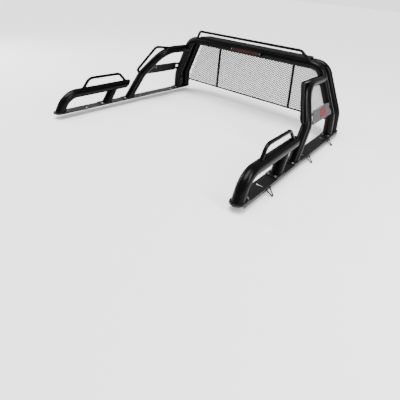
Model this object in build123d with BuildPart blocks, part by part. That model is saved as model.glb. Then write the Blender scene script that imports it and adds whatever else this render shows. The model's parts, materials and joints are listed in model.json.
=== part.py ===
"""Headache rack for a pickup bed: twin-tube hoop, mesh screen, bed bars and side arms.

Frame: +X to the truck's right, +Y forward, +Z up, millimetres. The origin is on the
plane of symmetry, halfway along the base plates, level with the tips of the tie hooks.
"""
from build123d import *
import os
from math import cos, radians, sin, tan

os.makedirs("parts", exist_ok=True)

# ---------------------------------------------------------------- driving dimensions
tube_od = 76.2
tube_wall = 2.0
rail_od = 25.4
rail_wall = 2.0
rack_half_width = 875.0

# base plates, which lie on the bed rails
plate_top = 49.0
plate_thick = 4.0
plate_half_width = 46.0
plate_half_length = 803.0
flange_drop = 22.0
flange_thick = 4.0
plate_edge_radius = 3.5
gasket_thick = 5.0
gasket_inset = 6.0
gasket_relief = 26.0
slot_ys = (-519.0, 78.0, 506.0)
slot_length = 50.0
slot_width = 13.0

# foot flanges welded under the tubes
foot_thick = 5.0
foot_width = 88.0
foot_corner = 10.0
foot_short = 46.0
foot_long = 72.0
foot_bolt_y = 59.0
foot_bolt_x = 24.0
hoop_foot_rear = 565.0
hoop_foot_front = 801.0
hoop_bolt_y = 577.0
bolt_d = 10.0
bolt_head_af = 16.0
bolt_head_height = 6.4
washer_d = 20.0
washer_thick = 2.0

# hoop
web_thick = 3.0
web_end_x = 606.0
hoop_y = 628.0
hoop_spacing = 135.0
hoop_foot_x = 872.0
hoop_knee_z = 215.0
hoop_knee_radius = 180.0
hoop_axis_z = 609.0
hoop_corner_x = 721.0
hoop_corner_radius = 112.0

# bed bar, strut and its handle
bar_foot_y = -752.0
bar_lean = 22.0
bar_axis_z = 185.0
bar_end_rise = 8.0
bar_bend_radius = 140.0
bar_end_y = -86.0
bar_end_lean = 35.0
end_cap_thick = 5.0
end_cap_lip = 2.5
end_cap_round = 2.0
strut_foot_y = -309.0
strut_run = 76.0
bar_handle = ((-549.0, 209.0), (-490.5, 300.0), (-177.0, 300.0), (-97.0, 212.0))
bar_handle_radii = [70.0, 55.0]

# side arm and its handle
arm_foot_y = -55.6
arm_knee = (876.0, 101.0, 269.0)
arm_shoulder = (755.0, 276.0, 511.0)
arm_end = (758.0, 628.0, 511.0)
arm_radii = [150.0, 260.0]
arm_handle = ((866.0, 82.0, 262.0), (862.0, 22.0, 313.0), (770.0, 169.0, 549.0), (757.0, 350.0, 528.0))
arm_handle_radii = [32.0, 42.0]

# side plate between the arm and the hoop
side_lean = 20.97
side_plane_offset = 917.5
side_thick = 3.0
side_top_z = 339.0
side_bottom_z = 247.0
side_top_ys = (240.0, 558.0)
side_bottom_ys = (182.0, 588.0)
side_corner = 7.0
side_bolts = ((266.0, 317.0), (227.0, 263.0), (556.0, 323.0), (568.0, 270.0))
side_bolt_d = 8.0
side_head_d = 14.0
side_head_height = 4.4
side_nut_af = 13.0
side_nut_height = 6.5
tab_thick = 4.0
tab_width = 26.0
tab_reaches = (-130.0, -130.0, 72.0, 60.0)
badge_stripes = 3
badge_start_y = 352.0
badge_pitch = 46.0
badge_stripe = 28.0
badge_slant = 22.0
badge_low_z = 266.0
badge_high_z = 322.0
badge_thick = 0.8

# mesh screen
mesh_bar_z = 133.0
mesh_bar_d = 16.0
mesh_upright_d = 22.0
mesh_upright_x = 424.0
mesh_thick = 3.0
mesh_cell_x = 96.0
mesh_cell_z = 60.0
mesh_strand = 9.0
mesh_margin = 12.0

# luggage rail and step deck
rail_foot = (625.0, 608.0, 643.0)
rail_corner = (559.0, 567.0, 720.0)
rail_radius = 38.0
rail_buried = 27.0
deck_half_length = 598.0
deck_rear_y = 618.0
deck_front_y = 778.0
deck_bottom_z = 649.0
deck_thick = 10.0
deck_end_cap = 8.0
tread_width = 9.0
tread_height = 3.0
tread_count = 4
deck_round = 7.0
deck_bracket_xs = (-450.0, -150.0, 150.0, 450.0)
deck_bracket_width = 34.0

# third brake light
light_z = 612.0
light_length = 344.0
light_height = 40.0
light_depth = 20.0
light_wall = 3.0
light_corner = 8.0
lens_length = 284.0
lens_height = 24.0
lens_thick = 4.0
light_screw_x = 157.0
light_screw_d = 5.0
led_count = 12
led_size = 5.0
board_gap = 2.0
board_thick = 1.6
gasket_skin = 1.5

# tie-down hooks
hook_wire_d = 8.0
hook_spread = 38.0
hook_lift = 24.0
hook_bend_drop = 17.0
hook_tip_x = 970.0
hook_tip_z = -8.52
hook_radii = [6.0, 8.0, 6.0]

# ---------------------------------------------------------------- derived places
tube_r = tube_od / 2
plate_outer_x = rack_half_width + plate_half_width
plate_bottom = plate_top - plate_thick
foot_top = plate_top + foot_thick
front_hoop_y = hoop_y + hoop_spacing
past = 40.0
sides = (("left", -1), ("right", 1))


def save(part, name):
    """Label one finished piece and write it as its own file."""
    part.label = name
    export_step(part, f"parts/{name}.step")


def rod(points, radii, outer_d):
    """Solid round bar along straight runs joined by tangent arcs."""
    with BuildPart() as bar:
        with BuildLine() as path:
            FilletPolyline(*points, radius=radii)
        with BuildSketch(Plane(origin=path.line @ 0, z_dir=path.line % 0)):
            Circle(outer_d / 2)
        sweep()
    return bar.part


def tube(points, radii, outer_d, wall):
    """Round tube along straight runs joined by tangent arcs, open at both ends."""
    with BuildPart() as pipe:
        with BuildLine() as path:
            FilletPolyline(*points, radius=radii)
        with BuildSketch(Plane(origin=path.line @ 0, z_dir=path.line % 0)):
            Circle(outer_d / 2)
            Circle(outer_d / 2 - wall, mode=Mode.SUBTRACT)
        sweep()
    return pipe.part


def straight(start, end, outer_d, wall=0.0):
    """Straight rod, or a straight tube when it has a wall."""
    run = Vector(*end) - Vector(*start)
    with BuildPart() as bar:
        with BuildSketch(Plane(origin=start, z_dir=run.normalized())):
            Circle(outer_d / 2)
            if wall:
                Circle(outer_d / 2 - wall, mode=Mode.SUBTRACT)
        extrude(amount=run.length)
    return bar.part


def trimmed(part, cutters, floor=None):
    """Cope a tube against its neighbours and cut its foot level."""
    with BuildPart() as piece:
        add(part)
        for cutter in cutters:
            add(cutter, mode=Mode.SUBTRACT)
        if floor is not None:
            split(bisect_by=Plane.XY.offset(floor), keep=Keep.TOP)
    return piece.part


def largest(part):
    """The biggest solid of a part, without the plug that coping leaves inside a tube."""
    return Part(part.solids().sort_by(SortBy.VOLUME)[-1].wrapped)


# ---------------------------------------------------------------- hoop tubes
def hoop_points(y):
    """Axis of one hoop tube in the plane at y, from the left foot to the right foot."""
    return (
        (-hoop_foot_x, y, foot_top),
        (-hoop_foot_x, y, hoop_knee_z),
        (-hoop_corner_x, y, hoop_axis_z),
        (hoop_corner_x, y, hoop_axis_z),
        (hoop_foot_x, y, hoop_knee_z),
        (hoop_foot_x, y, foot_top),
    )


hoop_radii = [hoop_knee_radius, hoop_corner_radius, hoop_corner_radius, hoop_knee_radius]
hoop_cores = {}
for name, y in (("hoop_rear_tube", hoop_y), ("hoop_front_tube", front_hoop_y)):
    hoop_cores[name] = rod(hoop_points(y), hoop_radii, tube_od)
    save(tube(hoop_points(y), hoop_radii, tube_od, tube_wall), name)
rear_core = hoop_cores["hoop_rear_tube"]
front_core = hoop_cores["hoop_front_tube"]

# ---------------------------------------------------------------- webs between the hoop's tubes
hoop_mid_y = (hoop_y + front_hoop_y) / 2
for side_name, side in sides:
    foot_point, knee_point, corner_point = hoop_points(hoop_mid_y)[:3]
    web_points = (
        (-side * foot_point[0], hoop_mid_y, foot_top),
        (-side * knee_point[0], hoop_mid_y, hoop_knee_z),
        (-side * corner_point[0], hoop_mid_y, hoop_axis_z),
        (side * web_end_x, hoop_mid_y, hoop_axis_z),
    )
    with BuildPart() as hoop_web:
        with BuildLine() as web_path:
            FilletPolyline(*web_points, radius=[hoop_knee_radius, hoop_corner_radius])
        with BuildSketch(Plane(origin=web_path.line @ 0, x_dir=(0, 1, 0), z_dir=web_path.line % 0)):
            Rectangle(hoop_spacing, web_thick)
        sweep()
        add(rear_core, mode=Mode.SUBTRACT)
        add(front_core, mode=Mode.SUBTRACT)
    save(largest(hoop_web.part), f"hoop_web_{side_name}")

# ---------------------------------------------------------------- base plates and gaskets
flange_length = 2 * (plate_half_length - plate_half_width)
hook_ys = [y + hook_lift for y in slot_ys]
foot_spans = (
    ("bar", bar_foot_y - foot_short, bar_foot_y + foot_long),
    ("strut", strut_foot_y - foot_long, strut_foot_y + foot_short),
    ("arm", arm_foot_y - foot_long, arm_foot_y + foot_short),
    ("hoop", hoop_foot_rear, hoop_foot_front),
)
bolt_rows = (
    bar_foot_y + foot_bolt_y,
    strut_foot_y - foot_bolt_y,
    arm_foot_y - foot_bolt_y,
    hoop_bolt_y,
)
bolt_spots = [(rack_half_width + dx, y) for y in bolt_rows for dx in (-foot_bolt_x, foot_bolt_x)]
for side_name, side in sides:
    with BuildPart() as base_plate:
        with BuildSketch(Plane.XY.offset(plate_bottom)):
            with Locations((side * rack_half_width, 0)):
                SlotOverall(2 * plate_half_length, 2 * plate_half_width, rotation=90)
            with Locations([(side * rack_half_width, y) for y in slot_ys]):
                SlotOverall(slot_length, slot_width, mode=Mode.SUBTRACT)
            with Locations([(side * x, y) for x, y in bolt_spots]):
                Circle(bolt_d / 2, mode=Mode.SUBTRACT)
        extrude(amount=plate_thick)
        long_edges = base_plate.edges().filter_by(Axis.Y).group_by(Axis.Z)[-1]
        outer_edge = long_edges.sort_by(Axis.X)[-1] if side > 0 else long_edges.sort_by(Axis.X)[0]
        fillet(outer_edge, plate_edge_radius)
    save(base_plate.part, f"base_plate_{side_name}")

    with BuildPart() as rail_flange:
        with BuildSketch(Plane.XY.offset(plate_bottom)):
            with Locations((side * (plate_outer_x - flange_thick / 2), 0)):
                Rectangle(flange_thick, flange_length)
        extrude(amount=plate_thick - flange_drop)
    save(rail_flange.part, f"rail_flange_{side_name}")

    gasket_width = 2 * plate_half_width - flange_thick - 2 * gasket_inset
    gasket_x = side * (rack_half_width - flange_thick / 2)
    with BuildPart() as gasket:
        with BuildSketch(Plane.XY.offset(plate_bottom)):
            with Locations((gasket_x, 0)):
                SlotOverall(2 * plate_half_length - 2 * gasket_inset, gasket_width, rotation=90)
            with Locations([(side * rack_half_width, y) for y in slot_ys]):
                SlotOverall(slot_length + gasket_relief, slot_width + gasket_relief, mode=Mode.SUBTRACT)
        extrude(amount=-gasket_thick)
    save(gasket.part, f"rail_gasket_{side_name}")

# ---------------------------------------------------------------- bed bars, struts, handles
bar_rise = bar_axis_z - plate_top
bar_knee_y = bar_foot_y + bar_rise * tan(radians(bar_lean))
bar_drop = past * tan(radians(bar_lean))
end_run = tan(radians(bar_end_lean))
cut_normal = Vector(0, cos(radians(bar_end_lean)), -cos(radians(bar_end_lean)) * end_run)
bar_cores = {}
arm_cores = {}
for side_name, side in sides:
    bar_x = side * rack_half_width
    bar_points = (
        (bar_x, bar_foot_y - bar_drop, plate_top - past),
        (bar_x, bar_knee_y, bar_axis_z),
        (bar_x, bar_end_y + 2 * tube_od, bar_axis_z + bar_end_rise),
    )
    bar_cores[side] = rod(bar_points, [bar_bend_radius], tube_od)
    end_plane = Plane(origin=(bar_x, bar_end_y, bar_axis_z + bar_end_rise), z_dir=cut_normal)
    with BuildPart() as bed_bar:
        add(tube(bar_points, [bar_bend_radius], tube_od, tube_wall))
        split(bisect_by=Plane.XY.offset(foot_top), keep=Keep.TOP)
        split(bisect_by=end_plane, keep=Keep.BOTTOM)
    save(bed_bar.part, f"bed_bar_{side_name}")

    with BuildPart() as end_cap:
        add(rod(bar_points, [bar_bend_radius], tube_od - 2 * tube_wall))
        split(bisect_by=end_plane.offset(-end_cap_thick), keep=Keep.TOP)
        split(bisect_by=end_plane.offset(end_cap_lip), keep=Keep.BOTTOM)
        fillet(end_cap.faces().sort_by(Axis.Y)[-1].edges(), end_cap_round)
    save(end_cap.part, f"bar_end_cap_{side_name}")

    strut_foot = (bar_x, strut_foot_y - past * strut_run / bar_rise, plate_top - past)
    strut_head = (bar_x, strut_foot_y + strut_run, bar_axis_z)
    strut_core = straight(strut_foot, strut_head, tube_od, tube_wall)
    save(largest(trimmed(strut_core, [bar_cores[side]], foot_top)), f"bar_strut_{side_name}")

    handle_points = [(bar_x, y, z) for y, z in bar_handle]
    bar_handle_tube = tube(handle_points, bar_handle_radii, rail_od, rail_wall)
    save(largest(trimmed(bar_handle_tube, [bar_cores[side]])), f"bar_handle_{side_name}")

arm_slope = (arm_knee[1] - arm_foot_y) / (arm_knee[2] - plate_top)
for side_name, side in sides:
    arm_points = (
        (side * arm_knee[0], arm_foot_y - past * arm_slope, plate_top - past),
        (side * arm_knee[0], arm_knee[1], arm_knee[2]),
        (side * arm_shoulder[0], arm_shoulder[1], arm_shoulder[2]),
        (side * arm_end[0], arm_end[1], arm_end[2]),
    )
    arm_cores[side] = rod(arm_points, arm_radii, tube_od)
    arm_tube = tube(arm_points, arm_radii, tube_od, tube_wall)
    save(largest(trimmed(arm_tube, [rear_core], foot_top)), f"side_arm_{side_name}")

    handle_points = [(side * x, y, z) for x, y, z in arm_handle]
    arm_handle_tube = tube(handle_points, arm_handle_radii, rail_od, rail_wall)
    save(largest(trimmed(arm_handle_tube, [arm_cores[side]])), f"arm_handle_{side_name}")

# ---------------------------------------------------------------- foot flanges and their bolts
foot_reach = 2 * plate_half_length - 2 * plate_half_width + foot_width
for side_name, side in sides:
    for foot_name, rear, front in foot_spans:
        with BuildPart() as foot:
            with BuildSketch(Plane.XY.offset(plate_top)):
                with Locations((side * rack_half_width, (rear + front) / 2)):
                    RectangleRounded(foot_width, front - rear, foot_corner)
                with Locations((side * rack_half_width, 0)):
                    SlotOverall(foot_reach, foot_width, rotation=90, mode=Mode.INTERSECT)
                with Locations([(side * x, y) for x, y in bolt_spots]):
                    Circle(bolt_d / 2, mode=Mode.SUBTRACT)
            extrude(amount=foot_thick)
        save(foot.part, f"{foot_name}_foot_{side_name}")

    with BuildPart() as foot_bolts:
        with BuildSketch(Plane.XY.offset(plate_bottom)):
            with Locations([(side * x, y) for x, y in bolt_spots]):
                Circle(bolt_d / 2)
        extrude(amount=foot_top - plate_bottom)
        with BuildSketch(Plane.XY.offset(foot_top)):
            with Locations([(side * x, y) for x, y in bolt_spots]):
                Circle(washer_d / 2)
        extrude(amount=washer_thick)
        with BuildSketch(Plane.XY.offset(foot_top + washer_thick)):
            with Locations([(side * x, y) for x, y in bolt_spots]):
                RegularPolygon(bolt_head_af / 2, 6, major_radius=False)
        extrude(amount=bolt_head_height)
    save(foot_bolts.part, f"foot_bolts_{side_name}")

# ---------------------------------------------------------------- side plates, tabs, bolts, badges
side_cos = cos(radians(side_lean))
side_sin = sin(radians(side_lean))


def side_plane(side, lift):
    """Plane of the leaning side plate: local X runs fore and aft, local Y runs up the plate."""
    normal = Vector(side * side_cos, 0, side_sin)
    return Plane(origin=normal * (side_plane_offset + lift), x_dir=(0, side, 0), z_dir=normal)


def on_side(side, y, z):
    """Local point of the side plate's plane at the given Y and height."""
    return (side * y, (z - side_plane_offset * side_sin) / side_cos)


side_cores = {side: (arm_cores[side], arm_cores[side], rear_core, rear_core) for name, side in sides}
side_outline = (
    (side_top_ys[0], side_top_z),
    (side_top_ys[1], side_top_z),
    (side_bottom_ys[1], side_bottom_z),
    (side_bottom_ys[0], side_bottom_z),
)
for side_name, side in sides:
    corners = [on_side(side, y, z) for y, z in side_outline]
    bolt_points = [on_side(side, y, z) for y, z in side_bolts]
    with BuildPart() as side_plate:
        with BuildSketch(side_plane(side, 0)) as outline:
            with BuildLine():
                Polyline(*corners, close=True)
            make_face()
            fillet(outline.vertices(), side_corner)
            with Locations(bolt_points):
                Circle(side_bolt_d / 2, mode=Mode.SUBTRACT)
        extrude(amount=side_thick)
    save(side_plate.part, f"side_plate_{side_name}")

    tabs = []
    for (y, z), (bolt_u, bolt_v), core, reach in zip(side_bolts, bolt_points, side_cores[side], tab_reaches):
        with BuildPart() as tab:
            with BuildSketch(side_plane(side, 0)):
                with Locations((bolt_u + side * reach / 2, bolt_v)):
                    SlotCenterToCenter(abs(reach), tab_width)
                with Locations((bolt_u, bolt_v)):
                    Circle(side_bolt_d / 2, mode=Mode.SUBTRACT)
            extrude(amount=-tab_thick)
            add(core, mode=Mode.SUBTRACT)
        near_bolt = tab.solids().sort_by_distance(side_plane(side, 0).from_local_coords((bolt_u, bolt_v, 0)))
        tabs.append(near_bolt[0])
    save(Compound(children=tabs), f"side_tabs_{side_name}")

    with BuildPart() as side_bolt_set:
        with BuildSketch(side_plane(side, -tab_thick - side_nut_height)):
            with Locations(bolt_points):
                Circle(side_bolt_d / 2)
        extrude(amount=side_thick + tab_thick + side_nut_height)
        with BuildSketch(side_plane(side, side_thick)):
            with Locations(bolt_points):
                Circle(side_head_d / 2)
        extrude(amount=side_head_height)
        with BuildSketch(side_plane(side, -tab_thick)):
            with Locations(bolt_points):
                RegularPolygon(side_nut_af / 2, 6, major_radius=False)
        extrude(amount=-side_nut_height)
    save(side_bolt_set.part, f"side_bolts_{side_name}")

    with BuildPart() as badge:
        with BuildSketch(side_plane(side, side_thick)):
            for step in range(badge_stripes):
                left = badge_start_y + step * badge_pitch
                low = on_side(side, left, badge_low_z)
                low_end = on_side(side, left + badge_stripe, badge_low_z)
                high_end = on_side(side, left + badge_stripe + badge_slant, badge_high_z)
                high = on_side(side, left + badge_slant, badge_high_z)
                with BuildLine():
                    Polyline(low, low_end, high_end, high, close=True)
                make_face()
        extrude(amount=badge_thick)
    save(badge.part, f"side_badge_{side_name}")

# ---------------------------------------------------------------- mesh screen
mesh_bar_ends = (-hoop_foot_x, front_hoop_y, mesh_bar_z), (hoop_foot_x, front_hoop_y, mesh_bar_z)
bottom_bar = straight(*mesh_bar_ends, mesh_bar_d)
save(largest(trimmed(bottom_bar, [front_core])), "mesh_bottom_bar")
mesh_upright_y = front_hoop_y + (mesh_bar_d - mesh_upright_d) / 2
for side_name, side in sides:
    low = (side * mesh_upright_x, mesh_upright_y, mesh_bar_z)
    high = (side * mesh_upright_x, mesh_upright_y, hoop_axis_z)
    upright = straight(low, high, mesh_upright_d)
    save(largest(trimmed(upright, [front_core, bottom_bar])), f"mesh_upright_{side_name}")


def hoop_axis_x(z):
    """Half width between the hoop's leg axes at height z, above the knees."""
    return hoop_foot_x - max(z - hoop_knee_z, 0) * (hoop_foot_x - hoop_corner_x) / (hoop_axis_z - hoop_knee_z)


def cell_fits(x, z):
    """True where a whole mesh cell lies inside the hoop with a margin all round."""
    top = z + mesh_cell_z / 2
    room_x = hoop_axis_x(top) - tube_r - mesh_margin
    corner_cut = max(top - (hoop_axis_z - hoop_corner_radius), 0)
    low_enough = top < hoop_axis_z - tube_r - mesh_margin
    high_enough = z - mesh_cell_z / 2 > mesh_bar_z + mesh_margin
    return abs(x) + mesh_cell_x / 2 < room_x - corner_cut and low_enough and high_enough


mesh_columns = int(hoop_foot_x / mesh_cell_x) + 1
mesh_rows = int(hoop_axis_z / mesh_cell_z) + 1
cell_spots = []
for column in range(-2 * mesh_columns, 2 * mesh_columns + 1):
    for row in range(2 * mesh_rows):
        x = column * mesh_cell_x / 2
        z = mesh_bar_z + row * mesh_cell_z / 2
        if (column + row) % 2 == 0 and cell_fits(x, z):
            cell_spots.append((x, z))
mesh_rear = Plane(origin=(0, front_hoop_y + mesh_bar_d / 2, 0), x_dir=(1, 0, 0), z_dir=(0, -1, 0))
half_open_x = mesh_cell_x / 2 - mesh_strand
half_open_z = half_open_x * mesh_cell_z / mesh_cell_x
with BuildPart() as mesh_panel:
    with BuildSketch(mesh_rear):
        with BuildLine():
            Polyline(
                (-hoop_foot_x, mesh_bar_z - mesh_bar_d / 2),
                (-hoop_foot_x, hoop_knee_z),
                (-hoop_corner_x, hoop_axis_z),
                (hoop_corner_x, hoop_axis_z),
                (hoop_foot_x, hoop_knee_z),
                (hoop_foot_x, mesh_bar_z - mesh_bar_d / 2),
                close=True,
            )
        make_face()
        with BuildLine(mode=Mode.PRIVATE) as cell_edge:
            Polyline(
                (half_open_x, 0), (0, half_open_z), (-half_open_x, 0), (0, -half_open_z), close=True
            )
        with Locations(cell_spots):
            add(make_face(cell_edge.edges(), mode=Mode.PRIVATE), mode=Mode.SUBTRACT)
    extrude(amount=-mesh_thick)
    add(front_core, mode=Mode.SUBTRACT)
save(largest(mesh_panel.part), "mesh_panel")

# ---------------------------------------------------------------- luggage rail
foot_leg = Vector(*rail_foot) - Vector(*rail_corner)
buried = Vector(*rail_foot) + foot_leg.normalized() * rail_buried
rail_points = (
    (-buried.X, buried.Y, buried.Z),
    (-rail_corner[0], rail_corner[1], rail_corner[2]),
    rail_corner,
    (buried.X, buried.Y, buried.Z),
)
rail_tube = tube(rail_points, [rail_radius, rail_radius], rail_od, rail_wall)
save(largest(trimmed(rail_tube, [rear_core])), "luggage_rail")

# ---------------------------------------------------------------- step deck
deck_mid_y = (deck_rear_y + deck_front_y) / 2
deck_depth = deck_front_y - deck_rear_y
deck_top_z = deck_bottom_z + deck_thick
body_half = deck_half_length - deck_end_cap
with BuildPart() as step_deck:
    with BuildSketch(Plane.YZ.offset(-body_half)) as deck_section:
        with Locations((deck_mid_y, deck_bottom_z + deck_thick / 2)):
            Rectangle(deck_depth, deck_thick)
        fillet(deck_section.vertices().group_by(Axis.Y)[-1], deck_round)
    extrude(amount=2 * body_half)
save(step_deck.part, "step_deck")

for side_name, side in sides:
    with BuildPart() as deck_cap:
        with BuildSketch(Plane.YZ.offset(side * body_half)) as cap_section:
            with Locations((deck_mid_y, deck_bottom_z + deck_thick / 2)):
                Rectangle(deck_depth, deck_thick)
            fillet(cap_section.vertices().group_by(Axis.Y)[-1], deck_round)
        extrude(amount=side * deck_end_cap)
    save(deck_cap.part, f"deck_cap_{side_name}")

tread_pitch = (deck_depth - 2 * deck_round - tread_width) / (tread_count - 1)
with BuildPart() as deck_treads:
    with BuildSketch(Plane.XY.offset(deck_top_z)):
        with Locations((0, deck_mid_y)):
            with GridLocations(0, tread_pitch, 1, tread_count):
                Rectangle(2 * body_half, tread_width)
    extrude(amount=tread_height)
save(deck_treads.part, "deck_treads")

with BuildPart() as deck_brackets:
    with BuildSketch(Plane.YZ.offset(-deck_bracket_width / 2)):
        with Locations((hoop_y + hoop_spacing / 2, (hoop_axis_z + deck_bottom_z) / 2)):
            Rectangle(hoop_spacing, deck_bottom_z - hoop_axis_z)
    extrude(amount=deck_bracket_width)
    add(rear_core, mode=Mode.SUBTRACT)
    add(front_core, mode=Mode.SUBTRACT)
saddles = [Pos(x, 0, 0) * deck_brackets.part.solids().sort_by(SortBy.VOLUME)[-1] for x in deck_bracket_xs]
save(Compound(children=saddles), "deck_brackets")

# ---------------------------------------------------------------- third brake light
light_face_y = hoop_y - tube_r - light_depth
light_plane = Plane(origin=(0, light_face_y, light_z), x_dir=(1, 0, 0), z_dir=(0, -1, 0))
light_reach = light_depth + tube_r / 2
with BuildPart() as seat:
    with BuildSketch(Plane.YZ.offset(-light_length)):
        with Locations((hoop_y, hoop_axis_z)):
            Circle(tube_r + gasket_skin)
    extrude(amount=2 * light_length)
with BuildPart() as light_gasket:
    with BuildSketch(light_plane):
        RectangleRounded(light_length, light_height, light_corner)
    extrude(amount=-light_reach)
    add(seat.part, mode=Mode.INTERSECT)
    add(rear_core, mode=Mode.SUBTRACT)
    with BuildSketch(light_plane):
        with Locations((-light_screw_x, 0), (light_screw_x, 0)):
            Circle(light_screw_d / 2)
    extrude(amount=-light_reach, mode=Mode.SUBTRACT)
save(light_gasket.part, "brake_light_gasket")

pocket_depth = light_depth - light_wall - gasket_skin
with BuildPart() as light_housing:
    with BuildSketch(light_plane):
        RectangleRounded(light_length, light_height, light_corner)
    extrude(amount=-light_reach)
    add(seat.part, mode=Mode.SUBTRACT)
    with BuildSketch(light_plane):
        RectangleRounded(lens_length, lens_height, light_corner / 2)
    extrude(amount=-pocket_depth, mode=Mode.SUBTRACT)
    with BuildSketch(light_plane):
        with Locations((-light_screw_x, 0), (light_screw_x, 0)):
            Circle(light_screw_d / 2)
    extrude(amount=-light_reach, mode=Mode.SUBTRACT)
save(light_housing.part, "brake_light_housing")

with BuildPart() as light_board:
    with BuildSketch(light_plane.offset(-pocket_depth)):
        RectangleRounded(lens_length - board_gap, lens_height - board_gap, light_corner / 2)
    extrude(amount=board_thick)
save(light_board.part, "brake_light_board")

with BuildPart() as light_leds:
    with BuildSketch(light_plane.offset(-pocket_depth + board_thick)):
        with GridLocations(lens_length / led_count, 0, led_count, 1):
            Rectangle(led_size, led_size)
    extrude(amount=led_size / 2)
save(light_leds.part, "brake_light_leds")

with BuildPart() as light_lens:
    with BuildSketch(light_plane.offset(-lens_thick)):
        RectangleRounded(lens_length, lens_height, light_corner / 2)
    extrude(amount=2 * lens_thick)
    fillet(light_lens.faces().sort_by(Axis.Y)[0].edges(), lens_thick / 2)
save(light_lens.part, "brake_light_lens")

with BuildPart() as light_screws:
    with BuildSketch(light_plane):
        with Locations((-light_screw_x, 0), (light_screw_x, 0)):
            Circle(light_screw_d)
    extrude(amount=light_screw_d / 2)
    with BuildSketch(light_plane):
        with Locations((-light_screw_x, 0), (light_screw_x, 0)):
            Circle(light_screw_d / 2)
    extrude(amount=-light_depth)
save(light_screws.part, "brake_light_screws")

# ---------------------------------------------------------------- tie-down hooks
hook_x = plate_outer_x + hook_wire_d / 2
for side_name, side in sides:
    hooks = []
    for y in hook_ys:
        hook_points = (
            (side * hook_x, y - hook_spread / 2, plate_top - hook_wire_d / 2),
            (side * hook_x, y - hook_spread / 2, plate_top - hook_bend_drop),
            (side * hook_tip_x, y, hook_tip_z),
            (side * hook_x, y + hook_spread / 2, plate_top - hook_bend_drop),
            (side * hook_x, y + hook_spread / 2, plate_top - hook_wire_d / 2),
        )
        hooks.append(rod(hook_points, hook_radii, hook_wire_d))
    save(Compound(children=hooks), f"tie_hooks_{side_name}")
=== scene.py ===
"""Visual model of a pickup headache rack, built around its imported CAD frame."""

import json
from math import cos, hypot, pi, radians, sin

import bmesh
import bpy
from mathutils import Matrix, Vector


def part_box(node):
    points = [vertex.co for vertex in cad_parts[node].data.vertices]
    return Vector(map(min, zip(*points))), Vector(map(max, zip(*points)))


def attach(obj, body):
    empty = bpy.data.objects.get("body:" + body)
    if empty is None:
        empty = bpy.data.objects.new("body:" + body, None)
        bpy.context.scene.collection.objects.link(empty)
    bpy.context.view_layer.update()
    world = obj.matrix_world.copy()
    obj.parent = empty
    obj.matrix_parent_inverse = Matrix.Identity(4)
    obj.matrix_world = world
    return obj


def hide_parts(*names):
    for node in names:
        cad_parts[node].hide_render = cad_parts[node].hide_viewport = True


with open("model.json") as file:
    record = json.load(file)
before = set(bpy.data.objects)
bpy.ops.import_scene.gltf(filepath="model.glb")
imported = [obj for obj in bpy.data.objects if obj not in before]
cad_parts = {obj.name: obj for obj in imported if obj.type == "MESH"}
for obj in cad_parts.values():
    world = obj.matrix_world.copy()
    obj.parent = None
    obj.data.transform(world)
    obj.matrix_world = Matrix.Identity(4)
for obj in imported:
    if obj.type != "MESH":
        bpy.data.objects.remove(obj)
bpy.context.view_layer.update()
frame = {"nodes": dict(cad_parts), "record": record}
nodes = frame["nodes"]
scene = bpy.context.scene
MM = 0.001
SIDES = ("left", "right")
UP = Vector((0.0, 0.0, 1.0))

# ---------------------------------------------------------------- camera
SENSOR = 36.0
FOCAL_SHARE = 0.8773
CAMERA_PLACE = Vector((1.717, -2.226, 1.133))
CAMERA_AZIMUTH = radians(34.548)
CAMERA_ELEVATION = radians(12.427)
CAMERA_ROLL = radians(6.03)
CAMERA_SHIFT = (-0.0624, -0.3244)
CAMERA_REACH = 1000.0


def add_camera():
    """Camera behind the truck's right corner, looking forward and slightly down at the rack."""
    data = bpy.data.cameras.new("camera")
    data.sensor_width = SENSOR
    data.lens = SENSOR * FOCAL_SHARE
    data.shift_x, data.shift_y = CAMERA_SHIFT
    data.clip_end = CAMERA_REACH
    camera = bpy.data.objects.new("camera", data)
    scene.collection.objects.link(camera)
    turn = Matrix.Rotation(CAMERA_AZIMUTH, 4, "Z")
    tilt = Matrix.Rotation(pi / 2 - CAMERA_ELEVATION, 4, "X")
    roll = Matrix.Rotation(CAMERA_ROLL, 4, "Z")
    camera.matrix_world = Matrix.Translation(CAMERA_PLACE) @ turn @ tilt @ roll
    scene.camera = camera


# ---------------------------------------------------------------- studio
FLOOR_SIZE = 400.0
FLOOR_GREY = 0.92
FLOOR_ROUGHNESS = 0.9
SKY_STRENGTH = 0.65
HORIZON_STRENGTH = 1.9
HORIZON_BAND = (0.03, 0.12)
LAMP_TARGET = Vector((0.0, 0.0, 0.3))
OVERHEAD_POWER = 6.0
OVERHEAD_SPREAD = radians(40)
OVERHEAD_TILT = radians(12)
LAMPS = (
    ("lamp_left", (-4.0, -1.0, 2.2), (1.0, 3.0), 130.0),
    ("lamp_right", (4.2, -0.4, 2.6), (1.0, 3.0), 200.0),
)


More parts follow.
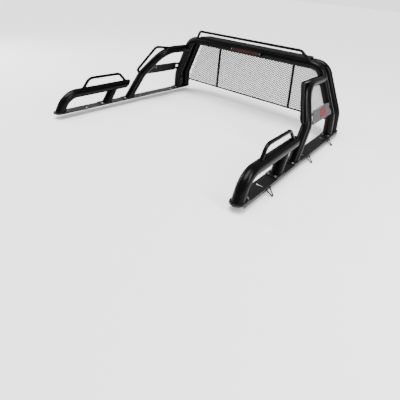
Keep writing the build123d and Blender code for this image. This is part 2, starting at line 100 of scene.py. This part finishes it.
def add_studio():
    """Pale floor under a sky that is bright at the horizon, an overhead light and two side lamps."""
    world = bpy.data.worlds.new("studio")
    world.use_nodes = True
    background = world.node_tree.nodes["Background"]
    background.inputs["Color"].default_value = (1.0, 1.0, 1.0, 1.0)
    parts, links = world.node_tree.nodes, world.node_tree.links
    height = parts.new("ShaderNodeSeparateXYZ")
    links.new(parts.new("ShaderNodeTexCoord").outputs["Generated"], height.inputs["Vector"])
    fade = parts.new("ShaderNodeMapRange")
    fade.inputs["From Min"].default_value, fade.inputs["From Max"].default_value = HORIZON_BAND
    fade.inputs["To Min"].default_value = HORIZON_STRENGTH
    fade.inputs["To Max"].default_value = SKY_STRENGTH
    links.new(height.outputs["Z"], fade.inputs["Value"])
    links.new(fade.outputs["Result"], background.inputs["Strength"])
    scene.world = world

    mesh = bpy.data.meshes.new("floor")
    shape = bmesh.new()
    bmesh.ops.create_grid(shape, x_segments=1, y_segments=1, size=FLOOR_SIZE)
    shape.to_mesh(mesh)
    shape.free()
    floor = bpy.data.objects.new("floor", mesh)
    scene.collection.objects.link(floor)
    paint = bpy.data.materials.new("floor_paint")
    paint.use_nodes = True
    shader = paint.node_tree.nodes["Principled BSDF"]
    shader.inputs["Base Color"].default_value = (FLOOR_GREY, FLOOR_GREY, FLOOR_GREY, 1.0)
    shader.inputs["Roughness"].default_value = FLOOR_ROUGHNESS
    mesh.materials.append(paint)

    overhead = bpy.data.lights.new("overhead", "SUN")
    overhead.energy = OVERHEAD_POWER
    overhead.angle = OVERHEAD_SPREAD
    lamp = bpy.data.objects.new("overhead", overhead)
    scene.collection.objects.link(lamp)
    lamp.rotation_euler = (OVERHEAD_TILT, 0.0, 0.0)

    for name, place, size, power in LAMPS:
        data = bpy.data.lights.new(name, "AREA")
        data.shape = "RECTANGLE"
        data.size, data.size_y = size
        data.energy = power
        lamp = bpy.data.objects.new(name, data)
        scene.collection.objects.link(lamp)
        lamp.location = place
        aim = LAMP_TARGET - Vector(place)
        lamp.rotation_euler = aim.to_track_quat("-Z", "Y").to_euler()


# ---------------------------------------------------------------- materials
GRAIN_DETAIL = 2.0
CLOUD_SCALE = 7.0
CLOUD_DETAIL = 5.0
DRIFT_STOPS = (0.3, 0.7)
RELIEF_DEPTH = 0.5 * MM


def noise(parts, links, place, scale, detail):
    """A noise texture in object space."""
    texture = parts.new("ShaderNodeTexNoise")
    texture.inputs["Scale"].default_value = scale
    texture.inputs["Detail"].default_value = detail
    links.new(place.outputs["Object"], texture.inputs["Vector"])
    return texture


def finish(name, color, roughness, shine=0.1, metal=0.0, grain=900.0, bump=0.06, vary=0.06, drift=0.2):
    """A worked surface: fine relief from a small noise, and a colour and gloss that drift slowly."""
    material = bpy.data.materials.new(name)
    material.use_nodes = True
    parts, links = material.node_tree.nodes, material.node_tree.links
    shader = parts["Principled BSDF"]
    shader.inputs["Metallic"].default_value = metal
    shader.inputs["Specular IOR Level"].default_value = shine
    place = parts.new("ShaderNodeTexCoord")
    peel = noise(parts, links, place, grain, GRAIN_DETAIL)
    cloud = noise(parts, links, place, CLOUD_SCALE, CLOUD_DETAIL)

    gloss = parts.new("ShaderNodeMapRange")
    gloss.inputs["To Min"].default_value = roughness - vary
    gloss.inputs["To Max"].default_value = roughness + vary
    links.new(cloud.outputs["Fac"], gloss.inputs["Value"])
    links.new(gloss.outputs["Result"], shader.inputs["Roughness"])

    ramp = parts.new("ShaderNodeValToRGB")
    dark, light = ramp.color_ramp.elements
    dark.position, light.position = DRIFT_STOPS
    dark.color = (*[c * (1.0 - drift) for c in color], 1.0)
    light.color = (*[min(c * (1.0 + drift), 1.0) for c in color], 1.0)
    links.new(cloud.outputs["Fac"], ramp.inputs["Fac"])
    links.new(ramp.outputs["Color"], shader.inputs["Base Color"])

    relief = parts.new("ShaderNodeBump")
    relief.inputs["Strength"].default_value = bump
    relief.inputs["Distance"].default_value = RELIEF_DEPTH
    links.new(peel.outputs["Fac"], relief.inputs["Height"])
    links.new(relief.outputs["Normal"], shader.inputs["Normal"])
    return material


BLACK = (0.0007, 0.0007, 0.0008)
MATERIALS = {
    "frame_paint": finish("frame_paint", BLACK, 0.24, shine=0.08, bump=0.1),
    "plate_paint": finish("plate_paint", (0.005, 0.005, 0.0055), 0.4, shine=0.25, grain=1400.0),
    "side_plate_paint": finish("side_plate_paint", (0.045, 0.045, 0.047), 0.42, grain=1400.0, bump=0.15),
    "mesh_paint": finish("mesh_paint", BLACK, 0.42),
    "rail_rubber": finish("rail_rubber", (0.004, 0.004, 0.004), 0.8, grain=400.0, bump=0.3),
    "cap_plastic": finish("cap_plastic", (0.003, 0.003, 0.003), 0.5, grain=1500.0, bump=0.3),
    "deck_paint": finish("deck_paint", (0.004, 0.004, 0.0045), 0.4, grain=1400.0, bump=0.2),
    "tread_rubber": finish("tread_rubber", (0.006, 0.006, 0.006), 0.65, grain=500.0, bump=0.3),
    "zinc_bolt": finish("zinc_bolt", (0.16, 0.16, 0.165), 0.3, metal=1.0, grain=600.0),
    "light_shell": finish("light_shell", BLACK, 0.25, grain=1500.0),
    "light_lens": finish("light_lens", (0.02, 0.0004, 0.001), 0.2, shine=0.15, bump=0.02),
    "light_board": finish("light_board", (0.02, 0.12, 0.05), 0.5),
    "light_led": finish("light_led", (0.6, 0.3, 0.25), 0.2),
    "badge_red": finish("badge_red", (0.22, 0.001, 0.014), 0.4, shine=0.05),
}
# range of the upward part of the normal on the leaning side plates' outer faces
OUTER_LEAN = (0.3, 0.42)


def compare(parts, links, source, operation, limit):
    """1 where the source passes the comparison with the limit, 0 elsewhere."""
    node = parts.new("ShaderNodeMath")
    node.operation = operation
    node.inputs[1].default_value = limit
    links.new(source, node.inputs[0])
    return node.outputs["Value"]


def blacken_inner_face(material):
    """Black paint on the back and the edges of the side plates; the outer face stays grey."""
    parts, links = material.node_tree.nodes, material.node_tree.links
    shader = parts["Principled BSDF"]
    grey = shader.inputs["Base Color"].links[0].from_socket
    facing = parts.new("ShaderNodeNewGeometry")
    split = parts.new("ShaderNodeSeparateXYZ")
    links.new(facing.outputs["True Normal"], split.inputs["Vector"])
    low, high = OUTER_LEAN
    outer = parts.new("ShaderNodeMath")
    outer.operation = "MULTIPLY"
    links.new(compare(parts, links, split.outputs["Z"], "GREATER_THAN", low), outer.inputs[0])
    links.new(compare(parts, links, split.outputs["Z"], "LESS_THAN", high), outer.inputs[1])
    dark = parts.new("ShaderNodeValToRGB")
    dark.color_ramp.elements[0].color = (*BLACK, 1.0)
    dark.color_ramp.elements[1].color = (*[2 * c for c in BLACK], 1.0)
    cloud = [n for n in parts if n.type == "TEX_NOISE"][-1]
    links.new(cloud.outputs["Fac"], dark.inputs["Fac"])
    choice = parts.new("ShaderNodeMix")
    choice.data_type = "RGBA"
    colors = [s for s in choice.inputs if s.type == "RGBA"]
    links.new(outer.outputs["Value"], choice.inputs["Factor"])
    links.new(dark.outputs["Color"], colors[0])
    links.new(grey, colors[1])
    result = [s for s in choice.outputs if s.type == "RGBA"][0]
    links.new(result, shader.inputs["Base Color"])


def paint_nodes():
    """Give each CAD node the finish of its material slot."""
    for entry in frame["record"]["subparts"]:
        data = nodes[entry["node"]].data
        data.materials.clear()
        data.materials.append(MATERIALS[entry["material_slot"]])


# ---------------------------------------------------------------- mesh helpers
SHARP = radians(32)
WELD_GAP = 1e-6


def add_piece(name, shape, slot, replaced=()):
    """Turn a bmesh into a piece that rides on the rack, smooth except at sharp edges."""
    mesh = bpy.data.meshes.new(name)
    bmesh.ops.recalc_face_normals(shape, faces=shape.faces)
    shape.to_mesh(mesh)
    shape.free()
    mesh.shade_smooth()
    mesh.set_sharp_from_angle(angle=SHARP)
    mesh.materials.append(MATERIALS[slot])
    piece = bpy.data.objects.new(name, mesh)
    scene.collection.objects.link(piece)
    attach(piece, "root")
    if replaced:
        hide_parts(*replaced)
    return piece


def cad_shape(node):
    """A CAD node's mesh as a bmesh with its doubled corners joined."""
    shape = bmesh.new()
    shape.from_mesh(nodes[node].data)
    bmesh.ops.remove_doubles(shape, verts=shape.verts, dist=WELD_GAP)
    return shape


def islands(node):
    """The separate solids of a CAD node, each as a list of its points."""
    shape = cad_shape(node)
    seen = set()
    found = []
    for first in shape.verts:
        if first in seen:
            continue
        seen.add(first)
        group = [first]
        for corner in group:
            around = [edge.other_vert(corner) for edge in corner.link_edges]
            fresh = [other for other in around if other not in seen]
            seen.update(fresh)
            group += fresh
        found.append([corner.co.copy() for corner in group])
    shape.free()
    return found


def span(points, axis):
    """Lowest and highest value of the points along a direction."""
    values = [p.dot(axis) for p in points]
    return min(values), max(values)


def centre(points):
    return sum(points, Vector()) / len(points)


def bridge(shape, low, high):
    """Quads between two rings of the same length."""
    for i in range(len(low)):
        j = (i + 1) % len(low)
        shape.faces.new((low[i], low[j], high[j], high[i]))


def stack(shape, rings):
    """Closed solid from a list of rings, capped at both ends."""
    made = [[shape.verts.new(p) for p in ring] for ring in rings]
    for low, high in zip(made, made[1:]):
        bridge(shape, low, high)
    shape.faces.new(made[0])
    shape.faces.new(made[-1])


# ---------------------------------------------------------------- welds
RIM_ANGLE = radians(20)
BEAD_SIDES = 8
RIPPLE_STEPS = 4
BEAD_LOW = 0.86
BEAD_SWELL = 0.2
WELDS = (
    ("hoop_welds", ("hoop_rear_tube", "hoop_front_tube"), 4.0 * MM),
    ("bed_bar_welds", ("bed_bar_left", "bed_bar_right"), 4.0 * MM),
    ("strut_welds", ("bar_strut_left", "bar_strut_right"), 4.0 * MM),
    ("arm_welds", ("side_arm_left", "side_arm_right"), 4.0 * MM),
    ("bar_handle_welds", ("bar_handle_left", "bar_handle_right"), 2.4 * MM),
    ("arm_handle_welds", ("arm_handle_left", "arm_handle_right"), 2.4 * MM),
    ("luggage_rail_welds", ("luggage_rail",), 2.4 * MM),
    ("mesh_bar_welds", ("mesh_bottom_bar", "mesh_upright_left", "mesh_upright_right"), 2.0 * MM),
)


def rims(node):
    """Closed loops of sharp edges at the cut ends of a CAD tube, as lists of points."""
    shape = cad_shape(node)
    sharp = {}
    for edge in shape.edges:
        if len(edge.link_faces) == 2 and edge.calc_face_angle(0.0) > RIM_ANGLE:
            for corner in edge.verts:
                sharp.setdefault(corner, []).append(edge.other_vert(corner))
    left = {corner: True for corner in sharp if len(sharp[corner]) == 2}
    loops = []
    for start in list(left):
        if not left.pop(start, False):
            continue
        loop = [start]
        ahead = [c for c in sharp[start] if c in left]
        while ahead:
            left.pop(ahead[0])
            loop.append(ahead[0])
            ahead = [c for c in sharp[loop[-1]] if c in left]
        if len(loop) > BEAD_SIDES and start in sharp[loop[-1]]:
            loops.append([c.co.copy() for c in loop])
    shape.free()
    return loops


def loop_length(loop):
    return sum((b - a).length for a, b in zip(loop, loop[1:] + loop[:1]))


def outer_rims(node):
    """The longest loop at each end of a tube, without the bore's loop inside it."""
    kept = []
    for loop in sorted(rims(node), key=loop_length, reverse=True):
        reach = loop_length(loop) / pi / 2
        if all((centre(loop) - centre(other)).length > reach for other in kept):
            kept.append(loop)
    return kept


def even_loop(loop, count):
    """The closed loop again, as evenly spaced points."""
    spacing = loop_length(loop) / count
    points = []
    ahead = 0.0
    for a, b in zip(loop, loop[1:] + loop[:1]):
        run = (b - a).length
        while ahead < run and len(points) < count:
            points.append(a.lerp(b, ahead / run))
            ahead += spacing
        ahead -= run
    return points


def add_bead(shape, loop, radius):
    """A weld bead along a closed loop: a round cord whose surface ripples like stacked coins."""
    ripples = int(loop_length(loop) / radius / 2)
    points = even_loop(loop, ripples * RIPPLE_STEPS)
    middle = centre(points)
    made = []
    for i, point in enumerate(points):
        along = (points[(i + 1) % len(points)] - points[i - 1]).normalized()
        out = point - middle
        out = (out - along * out.dot(along)).normalized()
        side = along.cross(out)
        size = radius * (BEAD_LOW + BEAD_SWELL * (i % RIPPLE_STEPS) / RIPPLE_STEPS)
        turns = [2 * pi * k / BEAD_SIDES for k in range(BEAD_SIDES)]
        made.append([shape.verts.new(point + (out * cos(t) + side * sin(t)) * size) for t in turns])
    for i, ring in enumerate(made):
        bridge(shape, ring, made[(i + 1) % len(made)])


def add_welds():
    """A bead round every welded tube end; the bed bar's capped end has none."""
    foot_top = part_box("foot_bolts_right")[1].z
    for name, tubes, radius in WELDS:
        shape = bmesh.new()
        for tube in tubes:
            for loop in outer_rims(tube):
                if not (name == "bed_bar_welds" and centre(loop).z > foot_top):
                    add_bead(shape, loop, radius)
        add_piece(name, shape, "frame_paint")


# ---------------------------------------------------------------- mesh screen
CELL_WIDTH = 34 * MM
CELL_HEIGHT = 22 * MM
# strands are wider than the real ones so that they don't wash out against the pale floor
STRAND_WIDTH = 6.6 * MM
STRAND_DEPTH = 3.0 * MM


def screen_reach(panel, z):
    """Half width of the CAD panel at a height: the furthest crossing of its edges."""
    reach = 0.0
    for edge in panel.edges:
        a, b = [panel.vertices[k].co for k in edge.vertices]
        if (a.z - z) * (b.z - z) < 0:
            reach = max(reach, abs(a.lerp(b, (z - a.z) / (b.z - a.z)).x))
    return reach


def add_screen():
    """Expanded-metal screen: diamond openings between flat strands, with closed outer edges."""
    low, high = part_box("mesh_panel")
    bar_low, bar_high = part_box("mesh_bottom_bar")
    bottom = (bar_low.z + bar_high.z) / 2
    middle = (low.y + high.y) / 2
    faces_y = (middle - STRAND_DEPTH / 2, middle + STRAND_DEPTH / 2)
    half_cell, half_row = CELL_WIDTH / 2, CELL_HEIGHT / 2
    opening = 1.0 - STRAND_WIDTH / 2 * hypot(half_cell, half_row) / (half_cell * half_row)
    columns = int((high.x - low.x) / CELL_WIDTH) + 1
    rows = int((high.z - bottom) / half_row)
    shape = bmesh.new()
    knuckles = {}
    borders = {}
    for row in range(1, rows):
        z = bottom + row * half_row
        reach = screen_reach(nodes["mesh_panel"].data, z)
        for column in range(-columns, columns + 1):
            if (column + row) % 2 == 0 or (abs(column) + 1) * half_cell > reach:
                continue
            x = column * half_cell
            around = ((-1, 0), (0, -1), (1, 0), (0, 1))
            outer, inner = [], []
            for i, j in around:
                key = (column + i, row + j)
                if key not in knuckles:
                    place = ((column + i) * half_cell, bottom + (row + j) * half_row)
                    knuckles[key] = [shape.verts.new((place[0], y, place[1])) for y in faces_y]
                outer.append(knuckles[key])
                dx, dz = i * half_cell * opening, j * half_row * opening
                inner.append([shape.verts.new((x + dx, y, z + dz)) for y in faces_y])
            for k in range(4):
                near, far = outer[k], outer[(k + 1) % 4]
                hole_near, hole_far = inner[k], inner[(k + 1) % 4]
                for face in range(2):
                    shape.faces.new((near[face], far[face], hole_far[face], hole_near[face]))
                shape.faces.new((hole_near[0], hole_far[0], hole_far[1], hole_near[1]))
                side = frozenset((near[0], far[0]))
                borders.setdefault(side, []).append((near[0], far[0], far[1], near[1]))
    for walls in borders.values():
        if len(walls) == 1:
            shape.faces.new(walls[0])
    add_piece("screen_mesh", shape, "mesh_paint", replaced=("mesh_panel",))


# ---------------------------------------------------------------- bolts
HEAD_SIDES = 6
ROUND_STEPS = 32
CROWN_SHARE = 0.45
# radii and heights below are in millimetres
FOOT_SHANK_RADIUS = 4.9
FOOT_WASHER = ((10.0, 0.0), (10.0, 1.5), (9.5, 2.0), (5.0, 2.0))
FOOT_FLANGE = ((8.6, 2.0), (8.6, 2.8), (7.4, 3.6), (5.0, 3.6))
FOOT_HEX_FLATS = 14.0
FOOT_HEX_START = 3.2
FOOT_HEX_CHAMFER = 1.4
SIDE_SHANK_RADIUS = 3.9
SIDE_NUT_FLATS = 13.0
SIDE_NUT_TOP = 6.5
SIDE_NUT_HEIGHT = 6.3
SIDE_NUT_CHAMFER = 1.0


def ring_points(middle, axis, radius, steps):
    """Points on a circle about an axis."""
    side = axis.orthogonal().normalized()
    other = axis.cross(side)
    turns = [2 * pi * k / steps for k in range(steps)]
    return [middle + (side * cos(t) + other * sin(t)) * radius for t in turns]


def add_lathe(shape, middle, axis, profile, steps=ROUND_STEPS):
    """Solid of revolution from (radius, height) pairs in millimetres along an axis."""
    levels = [(middle + axis * height * MM, radius * MM) for radius, height in profile]
    stack(shape, [ring_points(place, axis, radius, steps) for place, radius in levels])


def add_hex(shape, middle, axis, flats, height, chamfer):
    """Hexagon head with a chamfered crown; sizes in millimetres."""
    corner = flats / 2 / cos(pi / HEAD_SIDES)
    profile = ((corner, 0.0), (corner, height - chamfer), (flats * CROWN_SHARE, height))
    add_lathe(shape, middle, axis, profile, HEAD_SIDES)


def add_foot_bolts():
    """Flanged hexagon bolts that hold the tube feet to the base plates."""
    for side in SIDES:
        foot_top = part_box(f"bar_foot_{side}")[1].z
        shape = bmesh.new()
        for points in islands(f"foot_bolts_{side}"):
            low, high = span(points, UP)
            spot = centre(points)
            seat = Vector((spot.x, spot.y, foot_top))
            shank = Vector((spot.x, spot.y, low))
            head = (high - foot_top) / MM
            shank_length = (foot_top - low) / MM
            add_lathe(shape, shank, UP, ((FOOT_SHANK_RADIUS, 0.0), (FOOT_SHANK_RADIUS, shank_length)))
            add_lathe(shape, seat, UP, FOOT_WASHER)
            add_lathe(shape, seat, UP, FOOT_FLANGE)
            hex_seat = seat + UP * FOOT_HEX_START * MM
            add_hex(shape, hex_seat, UP, FOOT_HEX_FLATS, head - FOOT_HEX_START, FOOT_HEX_CHAMFER)
        add_piece(f"foot_hex_bolts_{side}", shape, "zinc_bolt", replaced=(f"foot_bolts_{side}",))


def plate_normal(node):
    """Normal of the plate's largest upward face."""
    upward = [f for f in nodes[node].data.polygons if f.normal.z > OUTER_LEAN[0]]
    return max(upward, key=lambda f: f.area).normal.normalized()


def add_side_bolts():
    """Button-head screws with a socket on the outer face, nuts on the inner face."""
    for side in SIDES:
        axis = plate_normal(f"side_plate_{side}")
        face = span([v.co for v in nodes[f"side_plate_{side}"].data.vertices], axis)[1]
        shape = bmesh.new()
        for points in islands(f"side_bolts_{side}"):
            low, high = span(points, axis)
            spot = centre(points)
            seat = spot + axis * (face - spot.dot(axis))
            tail = spot + axis * (low - spot.dot(axis))
            head = (high - face) / MM
            dome = ((7.6, 0.0), (7.6, 0.8), (6.6, 0.8), (6.4, head * 0.55), (5.2, head * 0.85),
                    (3.6, head), (2.9, head), (2.6, head * 0.4))
            add_lathe(shape, seat, axis, dome)
            shank_length = (face - low) / MM
            add_lathe(shape, tail, axis, ((SIDE_SHANK_RADIUS, 0.0), (SIDE_SHANK_RADIUS, shank_length)))
            nut_seat = tail + axis * SIDE_NUT_TOP * MM
            add_hex(shape, nut_seat, -axis, SIDE_NUT_FLATS, SIDE_NUT_HEIGHT, SIDE_NUT_CHAMFER)
        add_piece(f"side_screws_{side}", shape, "zinc_bolt", replaced=(f"side_bolts_{side}",))


# ---------------------------------------------------------------- badge, lens and treads
BADGE_BORDER = 4.5 * MM
BADGE_RAISE = 0.6 * MM
FLAT_ANGLE = radians(1)
FACING_SHARE = 0.9
LENS_FLUTES = 44
FLUTE_STEPS = 6
FLUTE_DEPTH = 1.2 * MM
TREAD_RIDGES = 3
GROOVE_DEPTH = 1.4 * MM
RIDGE_TOP_SHARE = 0.55


def add_badges():
    """Slanted stripes: a black slab on the side plate with a raised red field inside its border."""
    for side in SIDES:
        axis = plate_normal(f"side_plate_{side}")
        slab = cad_shape(f"side_badge_{side}")
        bmesh.ops.dissolve_limit(slab, angle_limit=FLAT_ANGLE, verts=slab.verts, edges=slab.edges)
        stripes = slab.copy()
        add_piece(f"badge_slabs_{side}", slab, "frame_paint", replaced=(f"side_badge_{side}",))
        tops = [face for face in stripes.faces if face.normal.dot(axis) > FACING_SHARE]
        bmesh.ops.inset_individual(stripes, faces=tops, thickness=BADGE_BORDER, use_even_offset=True)
        rest = [face for face in stripes.faces if face not in set(tops)]
        bmesh.ops.delete(stripes, geom=rest, context="FACES")
        for top in list(stripes.faces):
            lift = [stripes.verts.new(v.co + axis * BADGE_RAISE) for v in top.verts]
            bridge(stripes, list(top.verts), lift)
            stripes.faces.new(lift)
        add_piece(f"badge_stripes_{side}", stripes, "badge_red")


def add_lens():
    """Red lens with upright flutes on its rear face."""
    low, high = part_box("brake_light_lens")
    shape = bmesh.new()
    steps = LENS_FLUTES * FLUTE_STEPS
    rings = []
    for i in range(steps + 1):
        x = low.x + (high.x - low.x) * i / steps
        rear = low.y + FLUTE_DEPTH * (1.0 - abs(sin(pi * i / FLUTE_STEPS)))
        rings.append([(x, rear, low.z), (x, high.y, low.z), (x, high.y, high.z), (x, rear, high.z)])
    stack(shape, rings)
    add_piece("fluted_lens", shape, "light_lens", replaced=("brake_light_lens",))


def add_treads():
    """Tread strips with lengthwise ridges."""
    shape = bmesh.new()
    for points in islands("deck_treads"):
        x_low, x_high = span(points, Vector((1.0, 0.0, 0.0)))
        y_low, y_high = span(points, Vector((0.0, 1.0, 0.0)))
        z_low, z_high = span(points, UP)
        pitch = (y_high - y_low) / TREAD_RIDGES
        flat = pitch * RIDGE_TOP_SHARE
        outline = [(y_low, z_low)]
        for k in range(TREAD_RIDGES):
            ridge = y_low + k * pitch
            outline += [(ridge, z_high - GROOVE_DEPTH), (ridge + (pitch - flat) / 2, z_high)]
            outline.append((ridge + (pitch + flat) / 2, z_high))
        outline += [(y_high, z_high - GROOVE_DEPTH), (y_high, z_low)]
        stack(shape, [[(x, y, z) for y, z in outline] for x in (x_low, x_high)])
    add_piece("tread_strips", shape, "tread_rubber", replaced=("deck_treads",))


# ---------------------------------------------------------------- assembly
add_camera()
add_studio()
blacken_inner_face(MATERIALS["side_plate_paint"])
paint_nodes()
add_welds()
add_screen()
add_foot_bolts()
add_side_bolts()
add_badges()
add_lens()
add_treads()
